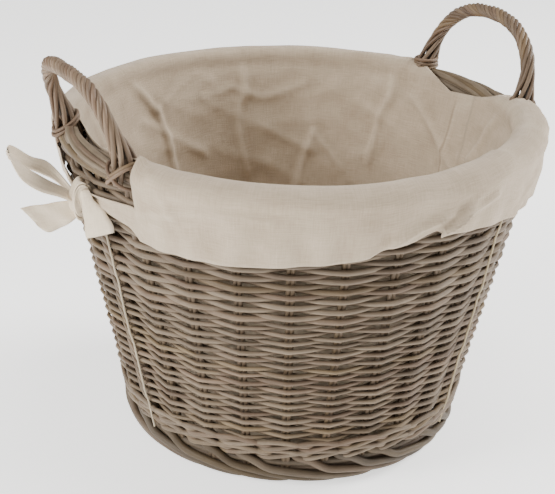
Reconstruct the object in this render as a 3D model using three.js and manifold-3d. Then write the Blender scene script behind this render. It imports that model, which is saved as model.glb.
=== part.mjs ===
// A round willow log basket with two bow handles and a tied cotton liner.
// Millimetres, +Z up. The origin is on the ground at the centre of the foot.
// The handles stand at -X (left) and +X (right).
import * as THREE from 'three'
import { mergeVertices } from 'three/addons/utils/BufferGeometryUtils.js'
import Module from 'manifold-3d'

// Driving dimensions
const gap = 0.3                 // clearance between neighbouring pieces
const footRadius = 170          // outside of the wall, carried down to the ground
const wallFlare = 0.2233        // how far the wall leans out for each millimetre of height
const wallThickness = 15        // one stake with a weaver on each side of it
const stakeCount = 28
const stakeRadius = 2.8
const footTop = 34              // the foot border
const upsettTop = 55            // the wale that sets the stakes upright
const fineTop = 195             // thin weavers below, thick weavers above
const coarseTop = 307
const borderRadius = 229.5      // centre line of the rolled rim border
const borderRoll = 13.5
const clothThickness = 1.6
const baseLevel = 17.5          // centre height of the woven base
const handleLegAngle = { left: 17.2, right: 21.4 }   // either side of the X axis: the left bow is narrower
const handleHeight = { left: 404, right: 409 }       // centre of each bow at its crown
const handleWrapRadius = 7.4
const handleCoreRadius = 4.5
const handleReach = { left: 249, right: 238 }   // crown of each bow, out from the centre
const slitAngle = { left: 21, right: 25 }          // the liner's cuffs stop this far from the X axis
const cuffBottom = 263
const tieTop = 294
const tieBottom = 272

const wallOuter = (z) => footRadius + wallFlare * z
const wallInner = (z) => wallOuter(z) - wallThickness
const stakeLine = (z) => wallOuter(z) - wallThickness / 2
const borderLevel = coarseTop + gap + borderRoll
const radians = THREE.MathUtils.degToRad
const around = (radius, degrees, z) => new THREE.Vector3(
  radius * Math.cos(radians(degrees)), radius * Math.sin(radians(degrees)), z)

// Solids: every geometry becomes a closed body whose faces point out
const wasm = await Module()
wasm.setup()

function solid(geometry) {
  for (const name of Object.keys(geometry.attributes)) if (name !== 'position') geometry.deleteAttribute(name)
  const merged = mergeVertices(geometry, 1e-3)
  const triVerts = new Uint32Array(merged.index.array)
  const vertProperties = new Float32Array(merged.attributes.position.array)
  const point = (i) => new THREE.Vector3().fromArray(vertProperties, 3 * triVerts[i])
  let volume = 0
  for (let i = 0; i < triVerts.length; i += 3) volume += point(i).dot(point(i + 1).cross(point(i + 2)))
  if (volume < 0) {
    for (let i = 0; i < triVerts.length; i += 3) {
      [triVerts[i], triVerts[i + 1]] = [triVerts[i + 1], triVerts[i]]
    }
  }
  return new wasm.Manifold(new wasm.Mesh({ numProp: 3, vertProperties, triVerts }))
}

function geometryOf(body) {
  const { vertProperties, triVerts, numProp } = body.getMesh()
  const positions = new Float32Array(vertProperties.length / numProp * 3)
  for (let i = 0; i < positions.length / 3; i++) {
    for (let axis = 0; axis < 3; axis++) positions[3 * i + axis] = vertProperties[numProp * i + axis]
  }
  const geometry = new THREE.BufferGeometry()
  geometry.setAttribute('position', new THREE.BufferAttribute(positions, 3))
  geometry.setIndex(new THREE.BufferAttribute(new Uint32Array(triVerts), 1))
  geometry.computeVertexNormals()
  return geometry
}

// A profile of [radius, height] points that closes on itself, turned about +Z
function turned(profile, segments = 36) {
  const points = [...profile, profile[0]].map(([radius, height]) => new THREE.Vector2(radius, height))
  return solid(new THREE.LatheGeometry(points, segments).rotateX(Math.PI / 2))
}

// A round rod along a curve
function rod(curve, radius, sides = 6, steps = 1) {
  const section = new THREE.Shape(Array.from({ length: sides }, (_, i) => new THREE.Vector2(
    radius * Math.cos(2 * Math.PI * i / sides), radius * Math.sin(2 * Math.PI * i / sides))))
  return solid(new THREE.ExtrudeGeometry(section, { extrudePath: curve, steps, bevelEnabled: false }))
}

// An upright wedge between two angles about +Z, wider than the basket
function sector(from, to) {
  const reach = 2 * footRadius
  const corners = [0, 0.25, 0.5, 0.75, 1].map((t) => around(reach, from + (to - from) * t, 0))
  const shape = new THREE.Shape([new THREE.Vector2(0, 0), ...corners.map((c) => new THREE.Vector2(c.x, c.y))])
  return solid(new THREE.ExtrudeGeometry(shape, { depth: 2 * coarseTop, bevelEnabled: false }))
}

// A flat outline in the XZ plane, width millimetres wide along Y
function plate(outline, width, hole) {
  const shape = new THREE.Shape(outline.map(([x, z]) => new THREE.Vector2(x, z)))
  if (hole) shape.holes.push(new THREE.Path(hole.map(([x, z]) => new THREE.Vector2(x, z))))
  const geometry = new THREE.ExtrudeGeometry(shape, { depth: width, bevelEnabled: false })
  return solid(geometry.translate(0, 0, -width / 2).rotateX(Math.PI / 2))
}

// Finishes
const willow = new THREE.MeshStandardMaterial({ color: 0x9a8c78, roughness: 0.75, metalness: 0 })
const cloth = new THREE.MeshStandardMaterial({ color: 0xcdc2b2, roughness: 0.95, metalness: 0 })
const basket = new THREE.Group()

function place(name, body, material) {
  const mesh = new THREE.Mesh(geometryOf(body), material)
  mesh.name = name
  basket.add(mesh)
}

// Stakes: upright rods from inside the foot border to inside the rim border
const turnedAbout = (body, degrees) => body.rotate([0, 0, degrees])
function stake(angle, radius, from, to) {
  const line = new THREE.LineCurve3(around(stakeLine(from), 0, from), around(stakeLine(to), 0, to))
  return turnedAbout(rod(line, radius), angle)
}
const stakeAngles = Array.from({ length: stakeCount }, (_, i) => (i + 0.5) * 360 / stakeCount)
const stakeEnds = [6, coarseTop + 12]
stakeAngles.forEach((angle, i) => place(
  `stake_${String(i + 1).padStart(2, '0')}`, stake(angle, stakeRadius, ...stakeEnds), willow))

// Handle bow: two legs pushed down into the wall, joined by a rounded arch
const legFoot = 240
const archShoulder = { left: 2 / 3.3, right: 2 / 2.35 }   // the left bow is squarer at its shoulders
function handleCurve(side) {
  const leg = (sign) => [legFoot, (legFoot + coarseTop) / 2, coarseTop - 15]
    .map((z) => around(stakeLine(z), sign * handleLegAngle[side], z))
  const springing = around(borderRadius + 2, handleLegAngle[side], borderLevel + borderRoll - 4)
  const arch = Array.from({ length: 11 }, (_, i) => {
    const turn = Math.PI * i / 10
    const rise = Math.pow(Math.abs(Math.sin(turn)), archShoulder[side])
    const spread = Math.sign(Math.cos(turn)) * Math.pow(Math.abs(Math.cos(turn)), archShoulder[side])
    return new THREE.Vector3(THREE.MathUtils.lerp(springing.x, handleReach[side], rise),
      springing.y * spread, THREE.MathUtils.lerp(springing.z, handleHeight[side], rise))
  })
  return new THREE.CatmullRomCurve3([...leg(1), ...arch, ...leg(-1).reverse()], false, 'centripetal')
}
const handleSteps = 26
const handles = ['left', 'right'].map((side) => ({
  side,
  turn: side === 'left' ? 180 : 0,
  core: rod(handleCurve(side), handleCoreRadius, 6, handleSteps),
  socket: rod(handleCurve(side), handleCoreRadius + gap, 6, handleSteps),
  wrap: rod(handleCurve(side), handleWrapRadius, 8, handleSteps),
  binding: rod(handleCurve(side), handleWrapRadius + gap, 8, handleSteps),
}))

// Everything that a woven ring has to leave room for
const stakeTunnels = stakeAngles.map((angle) => stake(angle, stakeRadius + gap, stakeEnds[0] - gap, stakeEnds[1] + gap))
const tunnels = wasm.Manifold.union([...stakeTunnels, ...handles.map((h) => turnedAbout(h.socket, h.turn))])

// Base: three split sticks, three sticks pushed through them, and the disc woven on their twelve ends
const stickLength = 146
const baseInner = 26
const slathPitch = 9
const splitRadius = 4
const throughRadius = 2.2
const stickSteps = 8
function stickCurve(axisAngle, lane) {
  const end = around(stickLength, 30 * lane, 0)
  const points = [[-end.x, end.y], [-baseInner, lane * slathPitch], [0, lane * slathPitch],
    [baseInner, lane * slathPitch], [end.x, end.y]]
  const curve = points.map(([x, y]) => new THREE.Vector3(x, y, baseLevel)
    .applyAxisAngle(new THREE.Vector3(0, 0, 1), radians(axisAngle)))
  return new THREE.CatmullRomCurve3(curve, false, 'centripetal')
}
const lanes = [-1, 0, 1]
const throughSticks = lanes.map((lane) => rod(stickCurve(90, lane), throughRadius, 6, stickSteps))
const throughRoom = lanes.map((lane) => rod(stickCurve(90, lane), throughRadius + gap, 6, stickSteps))
const splitSticks = lanes.map((lane) => rod(stickCurve(0, lane), splitRadius, 6, stickSteps))
const splitRoom = lanes.map((lane) => rod(stickCurve(0, lane), splitRadius + gap, 6, stickSteps))
lanes.forEach((lane, i) => {
  place(`base_split_stick_${i + 1}`, splitSticks[i].subtract(wasm.Manifold.union(throughRoom)), willow)
  place(`base_through_stick_${i + 1}`, throughSticks[i], willow)
})
const baseEdge = 151 - gap
const baseDisc = turned([[baseInner, baseLevel - 5], [baseEdge - 2, baseLevel - 6], [baseEdge, baseLevel],
  [baseEdge - 2, baseLevel + 5.5], [baseInner, baseLevel + 6]])
place('base_weave', baseDisc.subtract(wasm.Manifold.union([...throughRoom, ...splitRoom])), willow)

// Woven rings, from the ground up
function wovenRing(from, to, proud = 0) {
  return turned([[wallInner(from), from], [wallOuter(from) + proud, from],
    [wallOuter(to) + proud, to], [wallInner(to), to]])
}
const footBorder = turned([[152, 0], [165, 0], [170.5, 5], [173.5, 16], [wallOuter(footTop) + 1, footTop],
  [wallInner(footTop), footTop], [wallInner(24), 24], [151, 23]])
const rimBorder = turned(Array.from({ length: 8 }, (_, i) => {
  const turn = radians(22.5 + 45 * i)
  return [borderRadius + borderRoll * Math.cos(turn), borderLevel + borderRoll * Math.sin(turn)]
}))
place('foot_border', footBorder.subtract(tunnels), willow)
place('upsett_wale', wovenRing(footTop + gap, upsettTop, 1).subtract(tunnels), willow)
place('fine_weave', wovenRing(upsettTop + gap, fineTop).subtract(tunnels), willow)
place('coarse_weave', wovenRing(fineTop + gap, coarseTop).subtract(tunnels), willow)
place('rim_border', rimBorder.subtract(tunnels), willow)

// Handles: core rod, rope-laid wrap above the border, and a binding round the foot of each leg
const wrapFoot = borderLevel + borderRoll + gap
const above = (z) => solid(new THREE.BoxGeometry(4 * footRadius, 4 * footRadius, coarseTop)
  .translate(0, 0, z + coarseTop / 2))
const bindingHeight = 9
for (const { side, turn, core, socket, wrap, binding } of handles) {
  place(`${side}_handle_core`, turnedAbout(core, turn), willow)
  place(`${side}_handle_wrap`, turnedAbout(wrap.intersect(above(wrapFoot)).subtract(socket), turn), willow)
  for (const [end, sign] of [['front', side === 'left' ? 1 : -1], ['back', side === 'left' ? -1 : 1]]) {
    const foot = around(borderRadius + 2, sign * handleLegAngle[side], wrapFoot + gap)
    const collar = solid(new THREE.CylinderGeometry(11.5, 12.5, bindingHeight, 12)
      .rotateX(Math.PI / 2).translate(foot.x, foot.y, foot.z + bindingHeight / 2))
    place(`${side}_handle_binding_${end}`, turnedAbout(collar.subtract(binding), turn), willow)
  }
}

// Liner: side panel and base panel inside, and two cuffs folded out over the border
const lining = 0.6
const sideFoot = baseLevel + 8
const inside = (z) => wallInner(z) - lining
place('liner_side', turned([[inside(sideFoot), sideFoot], [inside(coarseTop - 12), coarseTop - 12],
  [borderRadius - borderRoll - lining, borderLevel - 4], [borderRadius - borderRoll - lining, borderLevel],
  [borderRadius - borderRoll - lining - clothThickness, borderLevel],
  [borderRadius - borderRoll - lining - clothThickness, borderLevel - 4],
  [inside(coarseTop - 12) - clothThickness, coarseTop - 12],
  [inside(sideFoot) - clothThickness, sideFoot]]), cloth)
const panelEdge = inside(sideFoot) - clothThickness - gap
place('liner_base', turned([[0, sideFoot], [panelEdge, sideFoot], [panelEdge, sideFoot + clothThickness],
  [0, sideFoot + clothThickness]]), cloth)

const cuffFold = (clear) => [180, 150, 120, 90, 60, 30, 0].map((degrees) => [
  borderRadius + (borderRoll + clear) * Math.cos(radians(degrees)) * (degrees < 90 ? 1.3 : 1),
  borderLevel + gap + (borderRoll + clear) * Math.sin(radians(degrees))])
const hem = (clear) => [wallOuter(cuffBottom) + clear, cuffBottom]
const cuffRing = turned([...cuffFold(lining), hem(3 + lining), hem(3 + lining + clothThickness),
  ...cuffFold(lining + clothThickness).reverse()])

// Below the slit each cuff runs on as a narrow band, close to the wall, towards the knot under the handle
function tieBand(reach) {
  return turned([[wallOuter(tieBottom) + lining, tieBottom], [wallOuter(tieBottom) + reach, tieBottom],
    [wallOuter(tieTop) + reach, tieTop], [wallOuter(tieTop) + lining, tieTop]])
}
const knotAngle = 0.5
const band = tieBand(lining + clothThickness)
const join = tieBand(wallThickness / 2)
function cuff(from, to, knotBefore, knotAfter) {
  return cuffRing.intersect(sector(from, to))
    .add(band.intersect(sector(knotBefore + 4, from + 1)))
    .add(band.intersect(sector(to - 1, knotAfter - 4)))
    .add(join.intersect(sector(from - 0.4, from + 1)))
    .add(join.intersect(sector(to - 1, to + 0.4)))
}
place('liner_cuff_front', cuff(180 + slitAngle.left, 360 - slitAngle.right, 180 + knotAngle, 360 + knotAngle), cloth)
place('liner_cuff_back', cuff(slitAngle.right, 180 - slitAngle.left, knotAngle, 180 + knotAngle), cloth)

// Ties: the ends of the bands are knotted and bowed outside the wall
const tailClear = lining + clothThickness + gap
const shortTail = turned([[wallOuter(246) + tailClear, 246], [wallOuter(246) + tailClear + 2, 246],
  [wallOuter(280) + tailClear + 2, 280], [wallOuter(280) + tailClear, 280]])
const knotRadius = 12
const knotCentre = around(wallOuter(283) + knotRadius + 1, knotAngle, 283)
const bowRoot = knotCentre.x + knotRadius + 1
const bowReach = 302
const longTailLow = { left: 247, right: 198 }   // the right bow's tail hangs lower
for (const [side, turn] of [['left', 180], ['right', 0]]) {
  const put = (name, body) => place(`${side}_tie_${name}`, turnedAbout(body, turn), cloth)
  put('knot', solid(new THREE.SphereGeometry(knotRadius, 10, 6).scale(1, 0.95, 1.1).translate(...knotCentre)))
  put('loop', plate(
    [[bowRoot, 286], [bowRoot + 22, 301], [bowReach, 330], [bowReach - 3, 338], [bowRoot + 18, 326], [bowRoot, 295]],
    28, [[bowRoot + 6, 293], [bowRoot + 21, 306], [bowReach - 5, 329], [bowRoot + 20, 321]]))
  put('long_tail', plate([[bowRoot, 268], [bowReach - 18, longTailLow[side]], [bowReach - 2, longTailLow[side] + 16],
    [bowReach - 6, longTailLow[side] + 24], [bowRoot, 282]], 3))
  put('short_tail', shortTail.intersect(sector(knotAngle + 4, 16)))
}

export default basket
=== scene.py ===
"""A round willow log basket with rope-wrapped handles and a cotton liner tied in bows.

Metres, +Z up, handles at -X (left) and +X (right), front at -Y. The willow comes first: stakes, weave,
wale, foot, canes, base, rim and handles. The sewn liner and its ties follow.
"""
import math
import random

import bpy
import numpy as np
from mathutils import Matrix, Vector, noise


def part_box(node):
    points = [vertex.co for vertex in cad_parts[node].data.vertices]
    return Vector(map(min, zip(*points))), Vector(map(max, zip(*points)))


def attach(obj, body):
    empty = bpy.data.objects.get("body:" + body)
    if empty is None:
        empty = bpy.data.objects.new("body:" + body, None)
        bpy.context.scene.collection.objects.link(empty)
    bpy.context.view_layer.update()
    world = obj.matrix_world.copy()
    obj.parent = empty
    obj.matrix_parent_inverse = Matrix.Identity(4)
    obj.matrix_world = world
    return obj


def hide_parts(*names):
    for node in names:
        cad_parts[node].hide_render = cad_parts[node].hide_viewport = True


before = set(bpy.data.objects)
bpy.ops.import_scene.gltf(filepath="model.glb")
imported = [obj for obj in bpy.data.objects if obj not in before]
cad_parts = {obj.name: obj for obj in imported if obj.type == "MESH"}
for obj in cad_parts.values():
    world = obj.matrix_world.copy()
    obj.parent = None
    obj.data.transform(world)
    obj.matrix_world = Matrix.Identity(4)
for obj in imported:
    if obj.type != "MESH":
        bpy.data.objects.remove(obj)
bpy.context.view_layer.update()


# ---------------------------------------------------------------------------------------------------
# Stakes: a pair of upright rods at each of 28 places, pushed in beside the base sticks. The second
# rod of each pair is the bye-stake that stiffens the wall. They show dark between the weavers with painted
# shade.
# ---------------------------------------------------------------------------------------------------
chance = random.Random(24)       # every choice that a maker's hand leaves to chance


def swept(paths, radii, sides, closed, outward=None):
    """Vertices and faces of round rods along paths, each a list of points, with a radius at each point."""
    places, faces, lengths = [], [], []
    for path, radius in zip(paths, radii):
        points = np.array(path, float)
        count = len(points)
        radius = np.broadcast_to(np.asarray(radius, float), (count,))
        if closed:
            along = np.roll(points, -1, 0) - np.roll(points, 1, 0)
        else:
            along = np.gradient(points, axis=0)
        along /= np.linalg.norm(along, axis=1, keepdims=True)
        side = np.array(outward, float) if outward is not None else points * (1, 1, 0)
        side = np.broadcast_to(side, points.shape)
        side = side - (side * along).sum(1, keepdims=True) * along
        side = side / np.linalg.norm(side, axis=1, keepdims=True)
        over = np.cross(along, side)
        turn = np.arange(sides) * 2 * math.pi / sides
        ring = (side[:, None] * np.cos(turn)[None, :, None] + over[:, None] * np.sin(turn)[None, :, None])
        start = sum(len(p) for p in places)
        places.append((points[:, None] + ring * radius[:, None, None]).reshape(-1, 3))
        lengths.append(np.repeat(np.cumsum(np.r_[0, np.linalg.norm(np.diff(points, axis=0), axis=1)]), sides))
        last = count if closed else count - 1
        for i in range(last):
            near, far = start + i * sides, start + (i + 1) % count * sides
            for j in range(sides):
                k = (j + 1) % sides
                faces.append((near + j, near + k, far + k, far + j))
        if not closed:
            faces.append(tuple(start + j for j in reversed(range(sides))))
            faces.append(tuple(start + (count - 1) * sides + j for j in range(sides)))
    return np.concatenate(places), faces, np.concatenate(lengths)


def lay_values(mesh, label, values):
    """Stores one value for each corner of a mesh, for its finish to read."""
    mesh.attributes.new(label, "FLOAT", "POINT").data.foreach_set("value", values.astype(np.float32))


def rods(name, paths, radii, sides=8, closed=False, outward=None, wall_radius=None, tones=None, recess=None):
    """One piece of several rods. Each has its own tone, and a depth value for how deep in the weave it lies,
    which the finish paints as shade.
    """
    places, faces, lengths = swept(paths, radii, sides, closed, outward)
    mesh = bpy.data.meshes.new(name)
    mesh.from_pydata(places.tolist(), [], faces)
    piece = bpy.data.objects.new(name, mesh)
    bpy.context.scene.collection.objects.link(piece)
    if tones is None:
        tones = [chance.random() for path in paths]
    tone = np.concatenate([np.repeat(np.broadcast_to(t, len(path)), sides) for t, path in zip(tones, paths)])
    depth = np.zeros(len(places))
    # painted shade: the deeper a point lies inside the wall's outside, the darker the finish paints it
    if wall_radius is not None:
        reach = np.linalg.norm(places[:, :2], axis=1)
        depth = np.clip((wall_radius(places[:, 2]) - reach) / WALL_DEPTH, 0, 1)
    if recess is not None:
        depth = recess(places)
    round_rod = np.tile(np.abs(2 * np.arange(sides) / sides - 1), len(places) // sides)
    for label, values in (("tone", tone), ("along", lengths), ("recess", depth), ("around", round_rod)):
        lay_values(mesh, label, values)
    mesh.shade_smooth()
    mesh.set_sharp_from_angle(angle=math.radians(50))
    return piece


class Wire:
    """A node's output. Expressions on Wires add the Math nodes that work them out."""
    def __init__(self, tree, socket):
        self.tree, self.socket = tree, socket

    def maths(self, operation, *values):
        return add_node(self.tree, "ShaderNodeMath", {"operation": operation}, dict(enumerate(values)))

    def __add__(self, other): return self.maths("ADD", self, other)
    def __radd__(self, other): return self.maths("ADD", other, self)
    def __sub__(self, other): return self.maths("SUBTRACT", self, other)
    def __rsub__(self, other): return self.maths("SUBTRACT", other, self)
    def __mul__(self, other): return self.maths("MULTIPLY", self, other)
    def __rmul__(self, other): return self.maths("MULTIPLY", other, self)
    def clamped(self): return self.maths("MINIMUM", self.maths("MAXIMUM", self, 0.0), 1.0)
    def fraction(self): return self.maths("FRACT", self)
    def sine(self): return self.maths("SINE", self)


def add_node(tree, kind, settings=None, inputs=None, output=0):
    """Adds a node, sets its settings, then links or sets its inputs, and returns one output."""
    node = tree.nodes.new(kind)
    for key, value in (settings or {}).items():
        if key == "stops":
            ramp = node.color_ramp
            while len(ramp.elements) < len(value):
                ramp.elements.new(1.0)
            for element, (position, colour) in zip(ramp.elements, value):
                element.position, element.color = position, colour
        else:
            setattr(node, key, value)
    for key, value in (inputs or {}).items():
        if isinstance(value, Wire):
            tree.links.new(value.socket, node.inputs[key])
        else:
            node.inputs[key].default_value = value
    return Wire(tree, node.outputs[output])


def mix_colours(tree, factor, first, second, blend="MIX"):
    return add_node(tree, "ShaderNodeMix", {"data_type": "RGBA", "blend_type": blend},
                    {0: factor, 6: first, 7: second}, output=2)


def new_material(name):
    material = bpy.data.materials.new(name)
    material.use_nodes = True
    tree = material.node_tree
    return material, tree, tree.nodes["Principled BSDF"]


def linear(red, green, blue):
    """A colour given as a painter's 0-255 mix, as the linear value that a shader takes."""
    mixed = [((c / 255 + 0.055) / 1.055) ** 2.4 if c > 10 else c / 3295 for c in (red, green, blue)]
    return (*mixed, 1.0)


def attribute(tree, name):
    return add_node(tree, "ShaderNodeAttribute", {"attribute_name": name}, output=2)


def noise_node(tree, way, scale, detail, roughness=0.5):
    """Cloudy noise, from 0 to 1, along a vector."""
    return add_node(tree, "ShaderNodeTexNoise", {},
                    {"Vector": way, "Scale": scale, "Detail": detail, "Roughness": roughness})


def willow(name, light, middle, dark, painted_gap_shade, roughness=0.58):
    """Washed willow: grey over brown, some rods yellower and some pinker, with fine bark lines along them.
    Parts deep in the weave get painted shade.
    """
    material, tree, shader = new_material(name)
    tone, along, recess = attribute(tree, "tone"), attribute(tree, "along"), attribute(tree, "recess")
    around = attribute(tree, "around")
    place = add_node(tree, "ShaderNodeTexCoord", output=3)
    length_way = add_node(tree, "ShaderNodeCombineXYZ", {}, {0: along * 7.0, 1: tone * 40.0, 2: around * 0.5})
    streaks = noise_node(tree, length_way, 3.0, 4.0, 0.6)
    line_way = add_node(tree, "ShaderNodeCombineXYZ", {}, {0: along * 22.0, 1: tone * 60.0, 2: around * 5.0})
    bark_lines = noise_node(tree, line_way, 2.2, 4.0, 0.7)
    blotches = noise_node(tree, place, 42.0, 5.0, 0.65)
    bark = noise_node(tree, place, 460.0, 3.0)
    shade = (tone * 0.40 + streaks * 0.55 + blotches * 0.5 + bark_lines * 0.7 - 0.61).clamped()
    colour = add_node(tree, "ShaderNodeValToRGB",
                      {"stops": [(0.0, dark), (0.45, middle), (1.0, light)]}, {0: shade})
    hue = (tone * 7.3).fraction()
    yellower, pinker = (hue * 2.6 - 1.5).clamped(), (1.0 - hue * 3.2).clamped()
    colour = mix_colours(tree, yellower * 0.55, colour, linear(236, 222, 178), "MULTIPLY")
    colour = mix_colours(tree, pinker * 0.5, colour, linear(240, 216, 206), "MULTIPLY")
    worn = (bark_lines * 5.0 - 3.1).clamped()
    colour = mix_colours(tree, worn * 0.30, colour, light)
    # painted shade: parts deep in the weave, behind other rods, are mixed towards a dark gap colour
    colour = mix_colours(tree, (recess * 5.0 - 1.65).clamped() * 0.76, colour, painted_gap_shade)
    tree.links.new(colour.socket, shader.inputs["Base Color"])
    tree.links.new((roughness + bark * 0.16 - 0.06).socket, shader.inputs["Roughness"])
    bump = add_node(tree, "ShaderNodeBump", {}, {"Strength": 0.5, "Distance": 0.0006,
                                                 "Height": bark * 0.3 + bark_lines * 1.1 + blotches * 0.3})
    tree.links.new(bump.socket, shader.inputs["Normal"])
    shader.inputs["Specular IOR Level"].default_value = 0.4
    return material


weaver_willow = willow("washed_willow", linear(144, 128, 107), linear(110, 95, 78), linear(78, 65, 51),
                       linear(80, 64, 47))


def finish_willow(piece, material, slot, *nodes):
    piece.data.materials.append(material)
    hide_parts(*nodes)
    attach(piece, "root")
    return piece


fine_low, fine_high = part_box("fine_weave")
WALL_DEPTH = 0.015               # from the inside to the outside of the weave
FLARE = 0.2233                   # how far the wall leans out for its height
FOOT_RADIUS = fine_high.x - FLARE * fine_high.z
STAKES = 28
BAY = 2 * math.pi / STAKES       # the angle from one stake to the next


def wall(z):
    """Radius of the wall's outside at a height."""
    return FOOT_RADIUS + FLARE * z


def middle(z):
    """Radius of the stakes at a height."""
    return wall(z) - WALL_DEPTH / 2


def at(radius, angle, z):
    return (radius * math.cos(angle), radius * math.sin(angle), z)


def stake_angle(k):
    return (k + 0.5) * BAY


def wave(angle, seed, turns=3):
    """A slow, closed, seeded waver round the basket, about -1 to 1."""
    total = 0.0
    for n in range(1, turns + 1):
        total += math.sin(n * angle + 12.9898 * seed * n) / n
    return total / 1.6


stake_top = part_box("stake_01")[1].z
STAKE_FOOT = 0.012
STAKE_STEPS = 24
PAIR_SPREAD = 0.0020             # either rod of a pair, from the middle of the two
STAKE_BUTT, STAKE_TAPER = 0.0025, 0.0003
STAKE_SHADE = 0.48              # painted shade: they stand in the shade behind the weavers
stake_paths, stake_radii = [], []
for k in range(STAKES):
    for lean in (-1, 1):
        path = []
        for i in range(STAKE_STEPS):
            z = STAKE_FOOT + (stake_top - STAKE_FOOT) * i / (STAKE_STEPS - 1)
            spread = lean * PAIR_SPREAD / middle(z)
            path.append(at(middle(z), stake_angle(k) + spread + 0.0008 * wave(z * 40, k), z))
        stake_paths.append(path)
        stake_radii.append([STAKE_BUTT - STAKE_TAPER * i / (STAKE_STEPS - 1) for i in range(STAKE_STEPS)])
stakes = rods("stakes", stake_paths, stake_radii, recess=lambda places: np.full(len(places), STAKE_SHADE))
finish_willow(stakes, weaver_willow, "willow_stake", *[f"stake_{k + 1:02d}" for k in range(STAKES)])


# ---------------------------------------------------------------------------------------------------
# Randing: weavers that pass in front of one stake and behind the next. Thin rods make the lower
# wall and thick ones the upper wall. Each round starts one stake on, so neighbouring rounds alternate.
# ---------------------------------------------------------------------------------------------------
STEPS_PER_BAY = 10


def kinked(angle, stiffness):
    """1 outside the even stakes, -1 inside the odd ones; a stiff rod bends round them, a thin one kinks."""
    turn = (angle - BAY / 2) / BAY
    sharp = 1 - 2 * abs((turn + 1) % 2 - 1)
    return (1 - stiffness) * sharp + stiffness * math.cos(turn * math.pi)


def rod_by_rod(count, thickness):
    """Radius and tone round one row, which is worked from three rods, each thinning from butt to tip."""
    joins = sorted(chance.random() for _ in range(3))
    tones = [chance.random() for _ in range(3)]
    radius, tone = [], []
    for i in range(count):
        place = i / count
        segment = sum(join <= place for join in joins) - 1
        begin = joins[segment] - (1 if segment < 0 else 0)
        end = joins[(segment + 1) % 3] + (1 if segment == 2 else 0)
        radius.append(thickness * (1.13 - 0.24 * (place - begin) / max(end - begin, 0.01)))
        tone.append(tones[segment])
    return radius, tone


def randing(name, low, high, rounds, rod_radius, swing, stiffness, seed):
    """Rows of weaving between two heights. A weaver swings out and in by the same amount at the stakes."""
    paths, radii, tones = [], [], []
    pitch = (high - low) / rounds
    count = STAKES * STEPS_PER_BAY
    for row in range(rounds):
        side = 1 if row % 2 else -1
        base_z = low + (row + 0.5) * pitch
        radius, tone = rod_by_rod(count, rod_radius * (0.93 + 0.14 * chance.random()))
        sag = [chance.gauss(0, 0.00045) for _ in range(STAKES)]
        push = [chance.gauss(0, 0.00035) for _ in range(STAKES)]
        path = []
        for i in range(count):
            angle = 2 * math.pi * i / count
            bay, t = divmod(i / STEPS_PER_BAY, 1)
            here, there = int(bay) % STAKES, (int(bay) + 1) % STAKES
            z = base_z + 0.0009 * wave(angle, seed + row * 0.37) + sag[here] * (1 - t) + sag[there] * t
            bend = side * kinked(angle, stiffness)
            reach = middle(z) + swing * bend + push[here] * (1 - t) + push[there] * t
            # outside a stake the weaver is pressed down by the one above it
            path.append(at(reach, angle, z - 0.0004 * bend))
        paths.append(path)
        radii.append(radius)
        tones.append(tone)
    return rods(name, paths, radii, closed=True, wall_radius=wall, tones=tones)


coarse_low, coarse_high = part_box("coarse_weave")
thin = randing("thin_weave", fine_low.z, fine_high.z, rounds=30, rod_radius=0.00212, swing=0.0052,
               stiffness=0.05, seed=3)
finish_willow(thin, weaver_willow, "willow_weaver", "fine_weave")
thick = randing("thick_weave", coarse_low.z, coarse_high.z, rounds=20, rod_radius=0.00285, swing=0.0046,
                stiffness=0.35, seed=7)
finish_willow(thick, weaver_willow, "willow_weaver", "coarse_weave")


# ---------------------------------------------------------------------------------------------------
# Upsett: rounds of three-rod wale. Each rod passes in front of two stakes and behind one, and the
# three follow one another round like a rope.
# ---------------------------------------------------------------------------------------------------
WALE_OUT, WALE_DIP = 0.0058, 0.0115      # how far out a rod lies, and how far it dips in behind a stake


def smooth(t):
    """A step from 0 to 1 that starts and ends gently."""
    t = min(max(t, 0.0), 1.0)
    return t * t * (3 - 2 * t)


def waling(name, low, high, rounds, rod_radius):
    """Rounds of three rods that follow on from one another, so one line goes round three times."""
    paths, radii, tones = [], [], []
    count = 3 * STAKES * STEPS_PER_BAY
    pitch = (high - low) / rounds
    for row in range(rounds):
        path = []
        for i in range(count):
            angle = 6 * math.pi * i / count
            phase = (angle / BAY - 0.5) / 3 % 1.0    # 0 where the rod is behind a stake
            bend = WALE_OUT - WALE_DIP * smooth(1 - min(phase, 1 - phase) * 5.2)
            z = low + (row + 0.5) * pitch - pitch * 0.46 * math.cos(2 * math.pi * (phase - 0.10))
            path.append(at(middle(z) + bend + 0.0003 * wave(angle, row + 5), angle,
                           z + 0.0008 * wave(angle, row)))
        paths.append(path)
        radii.append([rod_radius * (1 + 0.1 * wave(6 * math.pi * i / count / 3, row)) for i in range(count)])
        tones.append([0.5 + 0.4 * wave(2 * math.pi * i / count, row + 2, 7) for i in range(count)])
    return rods(name, paths, radii, closed=True, wall_radius=wall, tones=tones)


upsett_low, upsett_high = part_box("upsett_wale")
wale = waling("upsett", upsett_low.z, upsett_high.z, rounds=2, rod_radius=0.0026)
finish_willow(wale, weaver_willow, "willow_weaver", "upsett_wale")


# ---------------------------------------------------------------------------------------------------
# Foot border: the thick butts of 24 rods. Each starts with a rounded end tucked up under the wale, then
# lies along the bottom edge, over the ones before it, and goes in under the base.
# ---------------------------------------------------------------------------------------------------
def smooth_path(points, count):
    """A smooth open path through given points."""
    points = [Vector(p) for p in points]
    points = [2 * points[0] - points[1], *points, 2 * points[-1] - points[-2]]
    spans = len(points) - 3
    path = []
    for i in range(count):
        place = min(i * spans / (count - 1), spans - 1e-9)
        k, t = int(place), place - int(place)
        a, b, c, d = points[k:k + 4]
        path.append(tuple(0.5 * (2 * b + (c - a) * t + (2 * a - 5 * b + 4 * c - d) * t * t
                                 + (3 * b - a - 3 * c + d) * t * t * t)))
    return path


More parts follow.
